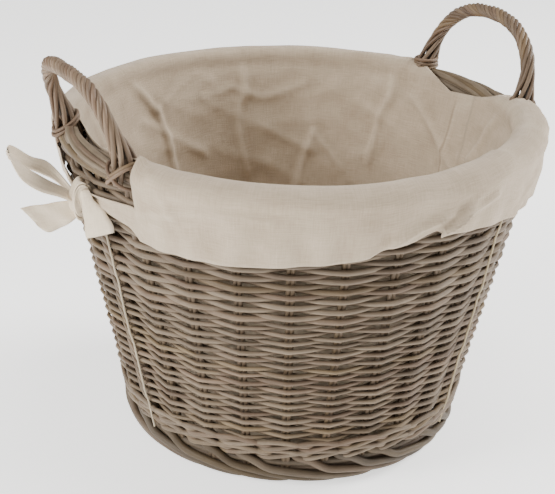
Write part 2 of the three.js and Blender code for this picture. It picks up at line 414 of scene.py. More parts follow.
foot_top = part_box("foot_border")[1].z
FOOT_RODS, FOOT_ROD, FOOT_STEPS = 24, 0.0040, 44
ONCE_ROUND = [i * math.pi / 72 for i in range(145)]            # angles along a rod that lies in a ring
foot_paths, foot_radii = [], []
for k in range(FOOT_RODS):
    start = (k + 0.35 * (chance.random() - 0.5)) * 2 * math.pi / FOOT_RODS
    lift = 0.0015 * (chance.random() - 0.5)
    # each point as radius, angle on from the start, and height
    route = [(middle(foot_top) - 0.001, -0.05, foot_top + 0.004),
             (wall(foot_top) - 0.0046, -0.012, foot_top + lift),
             (wall(foot_top) - 0.0036, 0.06, foot_top - 0.0040 + lift),
             (0.1738, 0.16, 0.0208), (0.1726, 0.28, 0.0172), (0.1712, 0.40, 0.0136), (0.1693, 0.52, 0.0102),
             (0.1668, 0.64, 0.0074), (0.1628, 0.77, 0.0052), (0.1552, 0.90, 0.0060), (0.1478, 1.00, 0.0098)]
    foot_paths.append(smooth_path([at(r, start + a, z) for r, a, z in route], FOOT_STEPS))
    foot_radii.append([FOOT_ROD * (1.04 - 0.18 * i / (FOOT_STEPS - 1)) * min(1, 0.55 + 0.25 * i)
                       for i in range(FOOT_STEPS)])
for z, r in ((0.0130, 0.1640), (0.0195, 0.1655), (0.0262, 0.1675)):   # the ends that pass inside the stakes
    foot_paths.append([at(r + 0.0008 * wave(a, z * 900, 6), a, z) for a in ONCE_ROUND])
    foot_radii.append([FOOT_ROD] * len(ONCE_ROUND))
# painted shade: the foot gets a darker copy of the thick willow, for shade at the foot, and its deep parts
# are darker still
foot = rods("foot", foot_paths, foot_radii, sides=10, wall_radius=lambda z: wall(z) - 0.002)
shaded_foot_willow = willow("foot_willow_painted_shade", linear(113, 99, 81), linear(83, 71, 56), linear(56, 46, 36),
                     linear(34, 27, 21))
finish_willow(foot, shaded_foot_willow, "willow_border", "foot_border")


# ---------------------------------------------------------------------------------------------------
# Upright canes: two thin pale canes laid on the outside of the weave, from the foot to up under the
# liner's skirt. They hold nothing, and they are paler than the washed willow behind them.
# ---------------------------------------------------------------------------------------------------
CANE = 0.0011
CANE_FOOT, CANE_LENGTH, CANE_STEPS = 0.030, 0.255, 40
cane_paths = []
for low_turn, high_turn, seed in ((188.5, 186.8, 1), (299.5, 294.9, 4)):      # degrees round at foot and top
    path = []
    for i in range(CANE_STEPS):
        t = i / (CANE_STEPS - 1)
        z = CANE_FOOT + CANE_LENGTH * t
        turn = math.radians(low_turn + (high_turn - low_turn) * t + 0.35 * wave(z * 30, seed))
        path.append(at(wall(z) + 0.0006 + 0.0008 * wave(z * 90, seed), turn, z))
    cane_paths.append(path)
canes = rods("upright_canes", cane_paths, [CANE] * 2, tones=[0.9, 0.8])
canes.data.materials.append(willow("pale_cane", linear(196, 184, 161), linear(172, 158, 134),
                                   linear(134, 118, 96), linear(70, 58, 44)))
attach(canes, "root")


# ---------------------------------------------------------------------------------------------------
# Base: three split sticks with three pushed through them, opened out to twelve ends, and woven over
# and under from the middle to the edge.
# ---------------------------------------------------------------------------------------------------
base_low, base_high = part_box("base_weave")
BASE_LEVEL = (base_low.z + base_high.z) / 2
BASE_EDGE = base_high.x
STICK_REACH = 0.146                                            # from the middle to a stick's end
STICK_BEND, STICK_LANE = 0.026, 0.009                          # where the sticks fan out, and their spacing
thick_willow = willow("washed_thick_willow", linear(140, 126, 105), linear(106, 92, 75), linear(74, 62, 48),
                      linear(42, 33, 25))
for axis, radius, label in ((0, 0.0038, "split"), (math.pi / 2, 0.0024, "through")):
    paths = []
    for lane in (-1, 0, 1):
        end = math.radians(30) * lane
        across, far_x, far_y = lane * STICK_LANE, STICK_REACH * math.cos(end), STICK_REACH * math.sin(end)
        route = [(-far_x, far_y), (-STICK_BEND, across), (0, across), (STICK_BEND, across), (far_x, far_y)]
        turned = [(x * math.cos(axis) - y * math.sin(axis),
                   x * math.sin(axis) + y * math.cos(axis), BASE_LEVEL) for x, y in route]
        paths.append(smooth_path(turned, 41))
    sticks = rods(f"base_{label}_sticks", paths, [radius] * 3, outward=(0, 0, 1))
    finish_willow(sticks, thick_willow, "willow_stake", *[f"base_{label}_stick_{i}" for i in (1, 2, 3)])

BASE_ROUNDS, BASE_STEPS, BASE_ROD = 26, 120, 0.00235
BASE_HEART = 0.028                                             # radius of the first round
BASE_SWING = 0.0043                                            # how far a rod goes over and under the sticks
base_paths = []
for row in range(BASE_ROUNDS):
    reach = BASE_HEART + (BASE_EDGE - 0.0025 - BASE_HEART) * row / (BASE_ROUNDS - 1)
    swing = BASE_SWING if row % 2 else -BASE_SWING
    turns = [2 * math.pi * i / BASE_STEPS for i in range(BASE_STEPS)]
    base_paths.append([at(reach, a, BASE_LEVEL + swing * math.cos(6 * a) + 0.0004 * wave(a, row))
                       for a in turns])
base = rods("base_weave_rods", base_paths, [BASE_ROD] * BASE_ROUNDS, closed=True, outward=(0, 0, 1))
finish_willow(base, weaver_willow, "willow_weaver", "base_weave")


# ---------------------------------------------------------------------------------------------------
# Rim border: the stakes' own tops, bent down in turn and rolled round one another along the rim. Each
# thins as it runs on past the next eight stakes, and it ends inside the roll.
# ---------------------------------------------------------------------------------------------------
rim_low, rim_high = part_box("rim_border")
RIM_ROLL = (rim_high.z - rim_low.z) / 2
RIM_RADIUS = rim_high.x - RIM_ROLL
RIM_LEVEL = (rim_low.z + rim_high.z) / 2
RIM_ROD, RIM_STEPS = 0.0041, 64
RIM_RUN = 1.9                                                  # radians that a stake's top runs round the rim
rim_paths, rim_radii = [], []
for k in range(STAKES):
    for layer in (0, 1):
        start = stake_angle(k) + layer * BAY / 2 + 0.07 * (chance.random() - 0.5)
        loose, thickness = chance.random(), RIM_ROD * (0.84 + 0.26 * chance.random())
        path, radius = [], []
        for i in range(RIM_STEPS):
            t = i / (RIM_STEPS - 1)
            angle = start + t * RIM_RUN
            wind = -0.4 - t * 2 * math.pi * (0.94 + 0.16 * loose) + 0.32 * wave(angle * 3, k + 9 * layer)
            reach = RIM_ROLL - RIM_ROD - 0.0016 * loose if layer == 0 else RIM_ROLL - RIM_ROD * 2.0
            path.append(at(RIM_RADIUS + reach * math.cos(wind), angle, RIM_LEVEL + reach * math.sin(wind)))
            radius.append(thickness * (1.08 - 0.42 * t))
        rim_paths.append(path)
        rim_radii.append(radius)
# the ends that turn down inside the roll and fill it
rim_paths.append([at(RIM_RADIUS, a, RIM_LEVEL) for a in ONCE_ROUND])
rim_radii.append([RIM_ROLL - 0.0052] * len(ONCE_ROUND))
rim = rods("rim", rim_paths, rim_radii, outward=(0, 0, 1))
finish_willow(rim, thick_willow, "willow_border", "rim_border")


# ---------------------------------------------------------------------------------------------------
# Handles: a core rod bent into a bow, its legs pushed down into the wall, with seven rods laid round
# it like a rope. The rods run straighter and open out at the foot of each leg, over the rim.
# ---------------------------------------------------------------------------------------------------
WRAP_RADIUS = 0.0074
LEG_TURN = {"left": math.radians(17.2), "right": math.radians(21.4)}
ARCH_POWER = {"left": 2 / 3.3, "right": 2 / 2.35}
CORE_ROD = 0.0042
STRANDS, STRAND = 7, 0.0023
ROPE_RING = 0.0051                                             # from the bow's centre line to a strand's
OPEN_OUT, OPEN_ACROSS = 0.0066, 0.0048                         # how much wider the strands stand at the foot
LAY_LENGTH = 0.046                                             # along the rope, for one turn of a strand
WRAP_START = RIM_LEVEL - 0.002
BOW_POINTS = 210
handle_willow = willow("washed_handle_willow", linear(154, 134, 111), linear(116, 97, 78), linear(74, 58, 45),
                       linear(32, 24, 18), roughness=0.48)


def half_turn(side):
    """The left handle is the right one turned half round the basket."""
    return Matrix.Rotation(math.pi if side == "left" else 0.0, 3, "Z")


def bow_line(side):
    """Evenly spaced points on the centre line of a bow at +X, from the leg at +Y to the leg at -Y."""
    low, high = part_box(f"{side}_handle_wrap")
    reach, crown = max(abs(low.x), abs(high.x)) - WRAP_RADIUS, high.z - WRAP_RADIUS
    spring = Vector(at(RIM_RADIUS + 0.002, LEG_TURN[side], RIM_LEVEL + RIM_ROLL - 0.004))
    leg = [Vector(at(middle(z), LEG_TURN[side], z)) for z in (0.240, 0.2735, 0.292)]
    route = leg[:]
    for i in range(11):
        turn = math.pi * i / 10
        rise = abs(math.sin(turn)) ** ARCH_POWER[side]
        spread = math.copysign(abs(math.cos(turn)) ** ARCH_POWER[side], math.cos(turn))
        route.append(Vector((spring.x + (reach - spring.x) * rise, spring.y * spread,
                             spring.z + (crown - spring.z) * rise)))
    route += [Vector((p.x, -p.y, p.z)) for p in reversed(leg)]
    fine = np.array(smooth_path(route, 600))
    far = np.r_[0, np.cumsum(np.linalg.norm(np.diff(fine, axis=0), axis=1))]
    even = np.linspace(0, far[-1], BOW_POINTS)
    return np.stack([np.interp(even, far, fine[:, axis]) for axis in range(3)], 1)


def painted_rope_shade(line, outside, depth):
    """How far each point lies in towards a bow's centre line, for painted shade between the strands."""
    def recess(places):
        near = np.min(np.linalg.norm(places[:, None] - line[None], axis=2), axis=1)
        return np.clip((outside - near) / depth, 0, 1)
    return recess


for side in ("left", "right"):
    turned_round = half_turn(side)
    line = bow_line(side)
    world_line = np.array([turned_round @ Vector(p) for p in line])
    # painted shade: the core is darker, most of all where it runs inside the rope wrap
    core = rods(f"{side}_core_rod", [world_line], [CORE_ROD], sides=10, outward=(1, 0, 0), tones=[0.1],
                recess=lambda places: np.where(places[:, 2] > WRAP_START + 0.02, 0.85, 0.4))
    finish_willow(core, handle_willow, "willow_handle", f"{side}_handle_core")

    rope = line[line[:, 2] > WRAP_START]
    step = np.linalg.norm(rope[1] - rope[0])
    run = np.arange(len(rope)) * step
    from_end = np.minimum(run, run[-1] - run)
    opened = np.array([1 - smooth(d / 0.050) for d in from_end])
    lay = 0.16 + 0.84 * np.array([smooth((d - 0.010) / 0.105) for d in from_end])
    twist = np.cumsum(lay) * step * 2 * math.pi / LAY_LENGTH
    along = np.gradient(rope, axis=0)
    along /= np.linalg.norm(along, axis=1, keepdims=True)
    out = np.array([1.0, 0, 0]) - along[:, :1] * along
    out /= np.linalg.norm(out, axis=1, keepdims=True)
    across = np.cross(along, out)
    paths, radii, tones = [], [], []
    for k in range(STRANDS):
        phase = twist + 2 * math.pi * k / STRANDS + 0.5
        jitter = 1 + 0.06 * np.sin(run * 90 + k * 2.1)
        ring_out = (ROPE_RING + OPEN_OUT * opened) * jitter
        ring_across = (ROPE_RING + OPEN_ACROSS * opened) * jitter
        strand = (rope + out * (ring_out * np.cos(phase))[:, None]
                  + across * (ring_across * np.sin(phase))[:, None])
        strand[:, 2] -= 0.006 * opened ** 2 * (np.cos(phase) > 0.2)
        paths.append([turned_round @ Vector(p) for p in strand])
        radii.append(STRAND * (0.94 + 0.12 * chance.random()) * (1 + 0.05 * np.sin(run * 60 + k)))
        tones.append(chance.random() * 0.9)
    wrap = rods(f"{side}_rope_wrap", paths, radii, sides=8, outward=(1, 0.2, 0), tones=tones,
                recess=painted_rope_shade(world_line, WRAP_RADIUS - 0.0006, 0.0036))
    finish_willow(wrap, handle_willow, "willow_handle", f"{side}_handle_wrap")


# ---------------------------------------------------------------------------------------------------
# Bindings: thin rods wound round the foot of each handle leg to hold the opened wrap to the rim. Each
# leg is tied a little differently, as it was by hand: level turns, a slant pair, or crossed.
# ---------------------------------------------------------------------------------------------------
BINDER = 0.0019
TURN_ACROSS, TURN_OUT = 0.0116, 0.0118                         # half the width of a turn, each way
TURN_STEPS = 40


def binding(side, end, turns):
    """Turns round a leg, each as height above the rim, lean in degrees, spare width, and drop outward."""
    sign = {"left": 1, "right": -1}[side] * (1 if end == "front" else -1)
    turn = sign * LEG_TURN[side]
    centre = Vector(at(RIM_RADIUS + 0.0035, turn, RIM_LEVEL + RIM_ROLL))
    outward = Vector((math.cos(turn), math.sin(turn), 0))
    sideways = Vector((-outward.y, outward.x, 0))
    paths = []
    for height, lean, spare, drop in turns:
        slope = math.tan(math.radians(lean)) * sign
        path = []
        for i in range(TURN_STEPS):
            a = 2 * math.pi * i / TURN_STEPS
            sway, reach = (TURN_ACROSS + spare) * math.cos(a), (TURN_OUT + spare) * math.sin(a)
            sway = math.copysign(abs(sway / TURN_ACROSS) ** 0.85 * TURN_ACROSS, sway)
            place = centre + sideways * sway + outward * reach
            place.z += height + slope * sway - drop * reach + 0.0003 * math.sin(3 * a)
            path.append(half_turn(side) @ place)
        paths.append(path)
    piece = rods(f"{side}_{end}_binding", paths, [BINDER] * len(paths), closed=True, outward=(0, 0, 1))
    finish_willow(piece, handle_willow, "willow_handle", f"{side}_handle_binding_{end}")


binding("right", "back", [(-0.001, 0, 0.0004, 0), (0.003, 2, 0, 0), (0.0068, -3, 0.0002, 0)])
binding("right", "front", [(0.000, -12, 0.0002, 0), (0.0038, -10, 0, 0)])
binding("left", "back", [(-0.0050, 8, 0.0004, 0.72), (-0.0008, 10, 0, 0.68)])
binding("left", "front", [(-0.0105, 38, 0.0044, 0), (-0.0070, 36, 0.0036, 0), (-0.0110, -34, 0.0040, 0)])


# ---------------------------------------------------------------------------------------------------
# Liner: unbleached cotton, one panel sewn into a tube that stands inside the wall, folds out over the
# rim in front and behind, and hangs as a hemmed skirt. It is slit at the handle legs, and below each
# slit the hem band runs on round the wall to the ties. Its creases come from having been packed flat.
# ---------------------------------------------------------------------------------------------------
COLUMNS = 400
INSIDE_ROWS, FOLD_ROWS, SKIRT_ROWS = 74, 13, 30
SLITS = {"left": 21.0, "right": 25.0}    # degrees either side of each handle where the fold stops
KNOT_TURN = 0.5                          # degrees round to the knots from the middle of each handle
JOIN_AT = 3.6                            # degrees round to the sewn seam down the panel's side
SEAM_TURN = 3.5                          # the tables below count from this far in front of +X
CLOTH, THREAD_GAP = 0.0009, 0.0011
BAND_TOP, BAND_BOTTOM, BAND_MIDDLE = 0.297, 0.272, 0.2875
KNOT_HALF = 2.5                          # degrees from a knot's middle to where its band ends
ROUND = 2 * math.pi * 0.21               # the panel's length round the basket
INSET = 0.0172                           # from the wall's outside in to the cloth's foot
CREASE_WIDTH, PLEAT_WIDTH = 0.0085, 0.009

# folds from packing: points as degrees round and height, then how high the crease stands
PACKING_CREASES = [
    ([(124.5, 0.337), (118, 0.312), (112, 0.284), (109.5, 0.253), (107, 0.20), (104, 0.12)], 0.0034),
    ([(112, 0.287), (104, 0.303), (95.5, 0.319)], 0.0026),
    ([(81, 0.332), (79, 0.290), (82, 0.279), (82.5, 0.25), (80, 0.20)], 0.0026),
    ([(73, 0.249), (64.5, 0.235), (56.5, 0.225)], 0.0022),
    ([(57, 0.246), (60.5, 0.209), (62.5, 0.18), (64, 0.10)], 0.0030),
    ([(56.5, 0.244), (50, 0.223), (46, 0.207)], 0.0024),
    ([(33, 0.324), (31.5, 0.302), (35, 0.276), (37, 0.22)], 0.0030),
    ([(25, 0.301), (18, 0.283), (9, 0.258), (2, 0.24)], 0.0030),
    ([(118.5, 0.278), (102, 0.243), (95, 0.227)], 0.0022),
    ([(94, 0.289), (84, 0.297), (73.5, 0.283), (60, 0.300)], 0.0022),
    ([(345, 0.322), (350, 0.292), (355, 0.259)], 0.0030),
    ([(150, 0.318), (143, 0.26), (140, 0.18)], 0.0026),
    ([(180, 0.30), (176, 0.22), (184, 0.12)], 0.0026),
    ([(222, 0.31), (226, 0.22), (221, 0.10)], 0.0026),
    ([(250, 0.25), (262, 0.21), (275, 0.215), (290, 0.18)], 0.0024),
    ([(300, 0.31), (296, 0.22), (303, 0.12)], 0.0026),
    ([(10, 0.20), (30, 0.16), (48, 0.17), (70, 0.14), (95, 0.16), (118, 0.13)], 0.0022),
]
SKIRT_CREASES = [
    ([(201.4, 0.288), (210, 0.298), (220, 0.309), (229, 0.313), (237, 0.309)], 0.0016),
    ([(273.5, 0.288), (280, 0.304), (289, 0.314)], 0.0046),
    ([(276.5, 0.292), (283, 0.318), (296, 0.333)], 0.0036),
    ([(262, 0.283), (268, 0.296), (276, 0.306)], 0.0026),
    ([(300, 0.277), (305, 0.300), (312, 0.312)], 0.0020),
    ([(330, 0.300), (322, 0.318), (316, 0.330)], 0.0022),
    ([(333, 0.312), (327, 0.326), (322, 0.336)], 0.0022),
    ([(208, 0.335), (213, 0.318), (216, 0.300)], 0.0016),
    ([(30, 0.300), (40, 0.312), (52, 0.306)], 0.0022),
    ([(90, 0.270), (96, 0.292), (93, 0.312)], 0.0020),
    ([(126, 0.275), (122, 0.300), (130, 0.325)], 0.0022),
    ([(150, 0.300), (142, 0.312), (134, 0.318)], 0.0022),
]
HEM_HEIGHTS = [(0, 0.272), (25, 0.271), (60, 0.264), (95, 0.261), (135, 0.265), (158, 0.271), (180, 0.272),
               (197, 0.264), (211, 0.2605), (234, 0.261), (253, 0.267), (258, 0.271), (262, 0.281),
               (268, 0.2845), (273.2, 0.294), (274.2, 0.2835), (285, 0.281), (304, 0.275), (333, 0.271),
               (360, 0.272)]


def crease_height(creases, degrees, level, width):
    """Sum of sharp-topped ridges along crease lines, at arrays of angles and heights."""
    total = np.zeros(degrees.shape)
    for points, height in creases:
        u, v = degrees / 360 * ROUND, level
        nearest = np.full(degrees.shape, 9.0)
        for (d0, z0), (d1, z1) in zip(points, points[1:]):
            u0, u1 = d0 / 360 * ROUND, d1 / 360 * ROUND
            length2 = (u1 - u0) ** 2 + (z1 - z0) ** 2
            t = np.clip(((u - u0) * (u1 - u0) + (v - z0) * (z1 - z0)) / length2, 0, 1)
            nearest = np.minimum(nearest, np.hypot(u - u0 - t * (u1 - u0), v - z0 - t * (z1 - z0)))
        total += height * np.clip(1 - nearest / width, 0, 1) ** 1.7
    return total


def slow_noise(degrees, level, scale, seed):
    """Smooth noise over the cloth that closes round the basket."""
    a = np.radians(degrees)
    values = [noise.noise(Vector((math.cos(x) * scale, math.sin(x) * scale, z * scale * 4.8 + seed)))
              for x, z in zip(a.ravel(), level.ravel())]
    return np.array(values).reshape(degrees.shape)


def crumple(degrees, level, seed):
    """Flat facets with soft ridges between them, as cotton keeps after being folded; about 0 to 1."""
    warp = slow_noise(degrees, level, 2.3, seed)
    total = np.zeros(degrees.shape)
    waves = [(9, 14, 1.0), (7, -19, 0.9), (14, 7, 0.8), (5, 27, 0.6), (17, -23, 0.6), (3, -8, 1.0),
             (23, 31, 0.35)]
    for n, (turns, climb, weight) in enumerate(waves):
        t = (turns * degrees / 360 + climb * level + 0.37 * n + seed * 0.61 + 0.5 * warp) % 1.0
        mask = np.clip(0.55 + 0.9 * np.sin(np.radians(degrees) * (n + 1) + n * 1.9 + level * 9 + seed), 0, 1)
        total += weight * mask * (1 - np.abs(2 * t - 1)) ** 2.2
    return total / 3.2


def cloth_piece(name, grid, keep, threads, painted_crease_shading, thickness=CLOTH, join_columns=False):
    """A sheet from a grid of points (rows x columns x 3), without the cells that are left out."""
    rows, columns = grid.shape[:2]
    faces = []
    for r in range(rows - 1):
        for c in range(columns if join_columns else columns - 1):
            if keep[r, c]:
                n = (c + 1) % columns
                faces.append((r * columns + c, r * columns + n, (r + 1) * columns + n, (r + 1) * columns + c))
    used = sorted({v for face in faces for v in face})
    renumber = {v: i for i, v in enumerate(used)}
    mesh = bpy.data.meshes.new(name)
    mesh.from_pydata(grid.reshape(-1, 3)[used].tolist(), [], [tuple(renumber[v] for v in f) for f in faces])
    thread = mesh.attributes.new("thread", "FLOAT_VECTOR", "POINT")
    thread.data.foreach_set("vector", threads.reshape(-1, 3)[used].astype(np.float32).ravel())
    lay_values(mesh, "crease", painted_crease_shading.reshape(-1)[used])
    piece = bpy.data.objects.new(name, mesh)
    bpy.context.scene.collection.objects.link(piece)
    mesh.shade_smooth()
    bpy.ops.object.select_all(action="DESELECT")
    bpy.context.view_layer.objects.active = piece
    piece.select_set(True)
    solid = piece.modifiers.new("cloth", "SOLIDIFY")
    solid.thickness, solid.offset, solid.use_even_offset = thickness, 0.0, False
    bpy.ops.object.modifier_apply(modifier=solid.name)
    piece.select_set(False)
    return piece


def cotton(name, light, dark):
    """Unbleached plain-weave cotton: uneven threads both ways, slubs and faint mottling, with a painted
    highlight on crease tops and painted shade in the hollows.
    """
    material, tree, shader = new_material(name)
    thread = add_node(tree, "ShaderNodeAttribute", {"attribute_name": "thread"}, output=1)
    crease = attribute(tree, "crease")
    split = add_node(tree, "ShaderNodeSeparateXYZ", {}, {0: thread})
    u, v = split, Wire(tree, split.socket.node.outputs[1])
    warp_way = add_node(tree, "ShaderNodeCombineXYZ", {}, {0: u * 900.0, 1: v * 60.0, 2: 0.0})
    weft_way = add_node(tree, "ShaderNodeCombineXYZ", {}, {0: u * 60.0, 1: v * 900.0, 2: 0.0})
    warp_slubs = noise_node(tree, warp_way, 1.0, 2.0)
    weft_slubs = noise_node(tree, weft_way, 1.0, 2.0)
    thread_turn = 2 * math.pi / THREAD_GAP
    weave = (u * thread_turn).sine() * (v * thread_turn).sine()
    mottle = noise_node(tree, thread, 26.0, 6.0, 0.6)
    wrinkles = add_node(tree, "ShaderNodeTexNoise", {"noise_type": "RIDGED_MULTIFRACTAL"},
                        {"Vector": thread, "Scale": 19.0, "Detail": 3.0, "Roughness": 0.45,
                         "Distortion": 0.6})
    # painted light and shade: the crease value lightens ridges and darkens hollows
    shade = (mottle * 0.9 + warp_slubs * 0.5 + weft_slubs * 0.6 - 0.50 + crease * 0.16).clamped()
    colour = mix_colours(tree, shade, dark, light)
    tree.links.new(colour.socket, shader.inputs["Base Color"])
    shader.inputs["Roughness"].default_value = 0.92
    shader.inputs["Specular IOR Level"].default_value = 0.18
    shader.inputs["Sheen Weight"].default_value = 0.15
    shader.inputs["Sheen Roughness"].default_value = 0.6
    height = weave * 0.10 + warp_slubs * 0.35 + weft_slubs * 0.45 + wrinkles * 1.6
    bump = add_node(tree, "ShaderNodeBump", {}, {"Strength": 0.5, "Distance": 0.0020, "Height": height})
    tree.links.new(bump.socket, shader.inputs["Normal"])
    return material


unbleached = cotton("unbleached_cotton", linear(205, 188, 165), linear(158, 139, 116))


def finish_cloth(piece, *nodes, material=unbleached):
    piece.data.materials.append(material)
    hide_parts(*nodes)
    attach(piece, "root")
    return piece


# top edge of the panel: how far along the cloth it reaches past the middle of the rim's inner side
TOP_EDGE = [(0, 0.0020), (6, -0.0010), (11.5, -0.0035), (16, 0.0030), (20.5, 0.0110), (25, 0.0190),
            (28.5, 0.0230), (40, 0.0), (146, 0.0), (162.5, 0.0230), (165, 0.0185), (168, 0.0120),
            (172, 0.0070), (177, 0.0042), (183, 0.0040), (189, 0.0075), (195, 0.0155), (200, 0.0215),
            (204.5, 0.0230), (216, 0.0), (319, 0.0), (338.5, 0.0235), (344, 0.0225), (349, 0.0170),
            (354, 0.0080), (357, 0.0045)]
# how much higher the fold stands, where cloth is bunched on the rim
FOLD_LIFT = [(0, 0.0), (60, 0.0), (110, 0.0008), (150, 0.001), (200, 0.0024), (215, 0.0012), (250, 0.0012),
             (275, 0.0030), (290, 0.0060), (315, 0.0070), (330, 0.0085), (338, 0.0080), (345, 0.0030),
             (352, 0.0)]

columns = np.arange(COLUMNS) * 360 / COLUMNS
column_width = 360 / COLUMNS
from_seam = (columns + SEAM_TURN) % 360
beside = np.abs((columns + 90) % 180 - 90)                     # degrees from the nearer handle
slit = np.where(np.abs(columns - 180) < 90, SLITS["left"], SLITS["right"])
past_slit = beside - slit
in_fold = past_slit >= -0.01
row_count = 3 + INSIDE_ROWS + FOLD_ROWS + SKIRT_ROWS
reach, level = np.zeros((row_count, COLUMNS)), np.zeros((row_count, COLUMNS))
hem = np.interp(from_seam, *zip(*HEM_HEIGHTS), period=360)
hem = hem + 0.0008 * np.array([wave(math.radians(d), 9, 7) for d in columns])
foot_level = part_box("liner_side")[0].z + 0.0016
foot_reach = wall(foot_level) - INSET
fold_radius = RIM_ROLL + 0.0014
top_edge = np.interp(from_seam, *zip(*TOP_EDGE), period=360)
fold_lift = np.interp(from_seam, *zip(*FOLD_LIFT), period=360)
from_edge = np.clip(past_slit / 9, 0, 1)
over_top = 1 + 0.18 * from_edge                                # the outer half of the fold is slacker

# the turned-in seam allowance on the base, then up the wall and a little way round the rim
reach[:3] = (foot_reach - np.array([0.009, 0.005, 0.0015]))[:, None]
level[:3] = foot_level + np.array([0.0016, 0.0014, 0.0012])[:, None]
bearing = np.full((row_count, COLUMNS), math.pi)               # which way the cloth faces, from outward
for r in range(INSIDE_ROWS):
    climbed = foot_level + 0.002 + (RIM_LEVEL + top_edge - foot_level - 0.002) * r / (INSIDE_ROWS - 1)
    z = np.minimum(climbed, RIM_LEVEL)
    turn = math.pi - np.maximum(climbed - RIM_LEVEL, 0) / fold_radius
    up_wall = (RIM_RADIUS - fold_radius - foot_reach) * (z - foot_level) / (RIM_LEVEL - foot_level)
    on_wall = foot_reach + up_wall
    reach[3 + r] = np.where(climbed > RIM_LEVEL, RIM_RADIUS + fold_radius * np.cos(turn), on_wall)
    level[3 + r] = np.where(climbed > RIM_LEVEL, RIM_LEVEL + fold_radius * np.sin(turn), z)
    bearing[3 + r] = turn
for r in range(FOLD_ROWS):
    begin = math.pi - np.maximum(top_edge, 0) / fold_radius
    turn = begin * (1 - (r + 1) / (FOLD_ROWS + 1))
    slacker = np.where(turn < math.pi / 2, over_top, 1.0)
    reach[3 + INSIDE_ROWS + r] = RIM_RADIUS + fold_radius * np.cos(turn) * slacker
    level[3 + INSIDE_ROWS + r] = RIM_LEVEL + fold_radius * np.sin(turn)
    bearing[3 + INSIDE_ROWS + r] = turn
for r in range(SKIRT_ROWS):
    t = r / (SKIRT_ROWS - 1)
    z = RIM_LEVEL + (hem - RIM_LEVEL) * t
    bulge = wall(hem) + 0.0038
    top = RIM_RADIUS + fold_radius * over_top
    tuck = 0.85 - 0.45 * np.exp(-((from_seam - 336) / 17) ** 2)      # pulled in under the rim at the right
    hanging = top + (bulge - top) * t ** tuck + 0.0012 * math.sin(math.pi * t)
    # beside a slit it lies on the willow
    tight = (1 - from_edge) ** 2 * np.clip((RIM_LEVEL - z) / 0.014, 0, 1)
    reach[3 + INSIDE_ROWS + FOLD_ROWS + r] = hanging + (wall(z) + 0.0016 - hanging) * tight
    level[3 + INSIDE_ROWS + FOLD_ROWS + r] = z
    bearing[3 + INSIDE_ROWS + FOLD_ROWS + r] = 0.0

# the bands below the slits: the skirt's lowest rows run on, close to the wall, and gather at the knot
first_skirt = 3 + INSIDE_ROWS + FOLD_ROWS
band_rows = [r for r in range(first_skirt, row_count)
             if level[r, int(round((180 + SLITS["left"]) / 360 * COLUMNS))] <= BAND_TOP]
to_knot = np.abs((columns - KNOT_TURN + 90) % 180 - 90)       # degrees to the nearer knot
in_band = (~in_fold) & (to_knot > KNOT_HALF)
for n, r in enumerate(band_rows):
    t = n / (len(band_rows) - 1)
    gathered = np.clip(1 - (to_knot - KNOT_HALF) / 17, 0, 1)
    z = BAND_TOP + (BAND_BOTTOM - BAND_TOP) * t
    z = z + (BAND_MIDDLE - z) * 0.62 * gathered
    pucker = 0.0018 * gathered * np.cos(t * 3 * math.pi)
    near_slit = np.clip(1 + past_slit / 3.2, 0, 1) ** 2
    close = wall(z) + 0.0012 + pucker + 0.003 * gathered ** 3
    reach[r, in_band] = (close + (reach[r] - close) * near_slit)[in_band]
    level[r, in_band] = (z + (level[r] - z) * near_slit)[in_band]

# which cells are cloth: the whole inside, the fold and skirt between the slits, and the bands to the knots
keep = np.zeros((row_count, COLUMNS), bool)
keep[:2 + INSIDE_ROWS] = True
both = in_fold & np.roll(in_fold, -1)
keep[2 + INSIDE_ROWS:, both] = True
run_on = (in_band | in_fold) & np.roll(in_band | in_fold, -1) & ~both
keep[band_rows[0]:, run_on] = True

# creases, folds and the way the cloth pulls at the slits: always away from the willow
degrees = np.broadcast_to(from_seam, reach.shape)
row_place = np.arange(row_count)[:, None]
inside_part = (row_place >= 3) & (row_place < 3 + INSIDE_ROWS)
fold_part = (row_place >= 3 + INSIDE_ROWS) & (row_place < first_skirt)
skirt_part = row_place >= first_skirt
on_rim = np.clip((level - (RIM_LEVEL - 0.004)) / 0.010, 0, 1) * ~skirt_part
flat_inside = crumple(degrees, level, 1.0)
flat_skirt = crumple(degrees, level * 0.6, 5.0)
packed = crease_height(PACKING_CREASES, degrees, level, CREASE_WIDTH)
pleated = crease_height(SKIRT_CREASES, degrees, level, PLEAT_WIDTH)
slack = np.clip((level - foot_level) / 0.03, 0, 1)
settle = 1 - 0.6 * np.clip((level - 0.306) / 0.016, 0, 1)
near_handle = np.clip(1 - np.abs(past_slit) / 16, 0, 1)
gathers = near_handle ** 2 * np.sin(np.radians(degrees) * 58 + level * 210 + 2 * flat_skirt)
inward = 0.0070 * flat_inside + 1.35 * packed + 0.0022 * (1 + slow_noise(degrees, level, 1.6, 3.3))
inward = inward * slack * settle
at_back = np.clip(np.sin(np.radians(columns)) * 1.6, 0, 1)     # a soft ridge runs along the fold at the back
over_rim = (0.0020 * flat_skirt + 0.0007 * gathers + 0.0008 * (1 + slow_noise(degrees, level, 3.1, 8.1))
            + fold_lift * np.sin(np.clip(bearing, 0, math.pi)) + pleated * 0.5
            + 0.0046 * np.exp(-((bearing - 2.25) / 0.5) ** 2) * at_back * from_edge)
down_skirt = np.clip((RIM_LEVEL - level) / 0.05, 0, 1)
down_wall = (0.0044 * flat_skirt + 1.7 * pleated + 0.0020 * (1 + slow_noise(degrees, level, 2.2, 6.4))
             + 0.0014 * gathers * (1 - down_skirt)
             + 0.0010 * np.sin(np.radians(degrees) * 41 + 3 * flat_skirt) * down_skirt)
hem_step = np.where((degrees > 262) & (degrees < 274.2), 0.0035 * down_skirt ** 2, 0)
